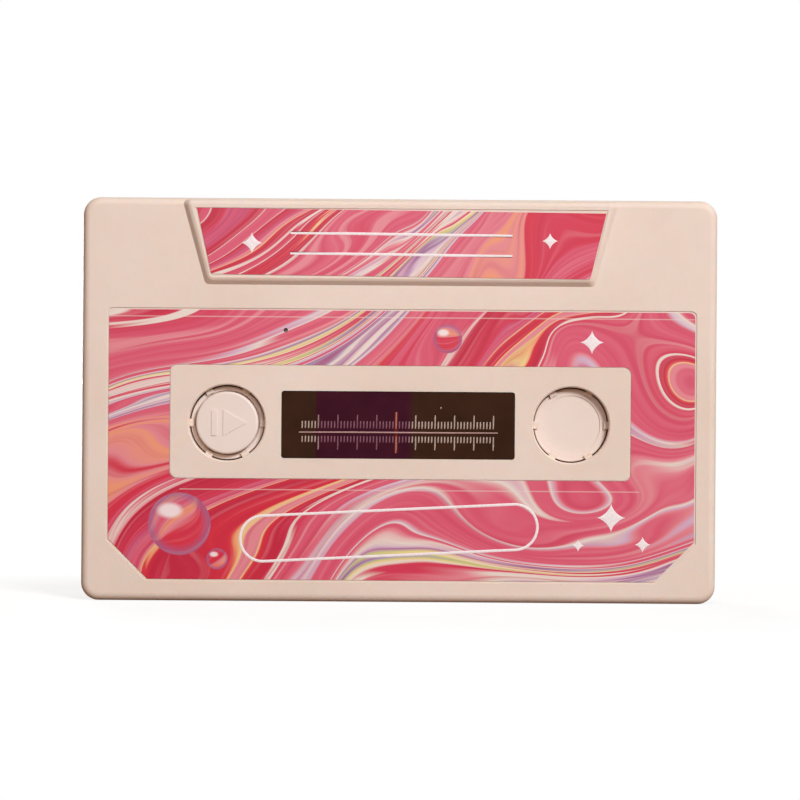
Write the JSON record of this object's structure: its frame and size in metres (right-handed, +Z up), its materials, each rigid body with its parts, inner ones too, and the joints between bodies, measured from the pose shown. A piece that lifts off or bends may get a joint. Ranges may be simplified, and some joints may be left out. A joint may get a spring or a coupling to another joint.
{
  "type": "recordable greeting card",
  "caption": "Cassette-shaped recordable greeting card: play and record buttons in hub wells, dial window, marbled label, hinged rear lid over a message card.",
  "frame": {"origin": "centre of the bounding box on the surface that the card stands on, under its long bottom edge", "axes": "+X to the right seen from the front, +Y from the front face back to the lid, +Z up"},
  "size_m": [0.1005, 0.0126, 0.0638],
  "materials": {
    "case_plastic": "warm cream moulded ABS, fine satin texture",
    "button_plastic": "cream moulded ABS, a little smoother than the case",
    "printed_film": "printed vinyl film, pink and red marbling, semi-gloss",
    "title_film": "printed vinyl film, pink and red marbling, semi-gloss",
    "smoked_acrylic": "dark smoked acrylic, gloss",
    "dial_print": "dark film with a plain cream tick scale, gloss",
    "clear_plastic": "milky light guide",
    "led_body": "surface-mounted lamp",
    "steel": "bright zinc-plated steel",
    "nickel": "nickel-plated magnet",
    "board": "green solder mask on glass-fibre board",
    "chip_black": "black moulded chip package",
    "ceramic_part": "tan ceramic with tinned ends",
    "switch_black": "black moulded switch housing",
    "switch_plunger": "dark grey moulded plunger",
    "speaker_steel": "black-coated pressed steel basket",
    "ferrite": "dark sintered magnet",
    "membrane": "thin polyester membrane",
    "foam": "black foam gasket",
    "rubber_boot": "black silicone boot",
    "mic_metal": "drawn aluminium capsule",
    "cell_steel": "polished steel button cell",
    "contact_metal": "nickel-plated spring contact",
    "tray_plastic": "grey-cream moulded tray",
    "lead_insulation": "red and black PVC insulation",
    "card_paper": "uncoated cream card"
  },
  "bodies": {
    "case": {"front_shell": "case_plastic", "rear_shell": "case_plastic", "hinge_pin": "steel", "case_magnets": "nickel", "face_label": "printed_film", "title_label": "title_film", "window_lens": "smoked_acrylic", "dial_film": "dial_print", "light_guide": "clear_plastic", "indicator_leds": "led_body", "play_switch_body": "switch_black", "record_switch_body": "switch_black", "slide_switch_body": "switch_black", "main_pcb": "board", "sound_chip": "chip_black", "memory_chip": "chip_black", "small_components": "ceramic_part", "case_screws": "steel", "pcb_screws": "steel", "mic_capsule": "mic_metal", "mic_boot": "rubber_boot", "mic_leads": "lead_insulation", "speaker_frame": "speaker_steel", "speaker_magnet": "ferrite", "speaker_cone": "membrane", "speaker_gasket": "foam", "speaker_leads": "lead_insulation", "battery_tray": "tray_plastic", "button_cells": "cell_steel", "tray_contacts": "contact_metal", "door_contacts": "contact_metal", "battery_door": "case_plastic", "battery_door_screw": "steel", "battery_leads": "lead_insulation"},
    "lid": {"rear_lid": "case_plastic", "lid_magnets": "nickel", "message_card": "card_paper"},
    "play_key": {"play_button": "button_plastic", "play_switch_plunger": "switch_plunger"},
    "record_key": {"record_button": "button_plastic", "record_switch_plunger": "switch_plunger"},
    "mode_knob": {"slide_switch_knob": "button_plastic"}
  },
  "joints": [
    {"name": "lid_hinge", "type": "hinge", "parent": "case", "child": "lid", "pos_m": [-0.0486, 0.00475, 0.0319], "axis": [0, 0, 1], "range_deg": [0, 120]},
    {"name": "play_press", "type": "slide", "parent": "case", "child": "play_key", "axis": [0, 1, 0], "range_m": [0, 0.0005], "stiffness_N_per_m": 1500, "springref_m": -0.0003},
    {"name": "record_press", "type": "slide", "parent": "case", "child": "record_key", "axis": [0, 1, 0], "range_m": [0, 0.0005], "stiffness_N_per_m": 1500, "springref_m": -0.0003},
    {"name": "mode_slide", "type": "slide", "parent": "case", "child": "mode_knob", "axis": [0, 0, 1], "range_m": [-0.002, 0]}
  ]
}
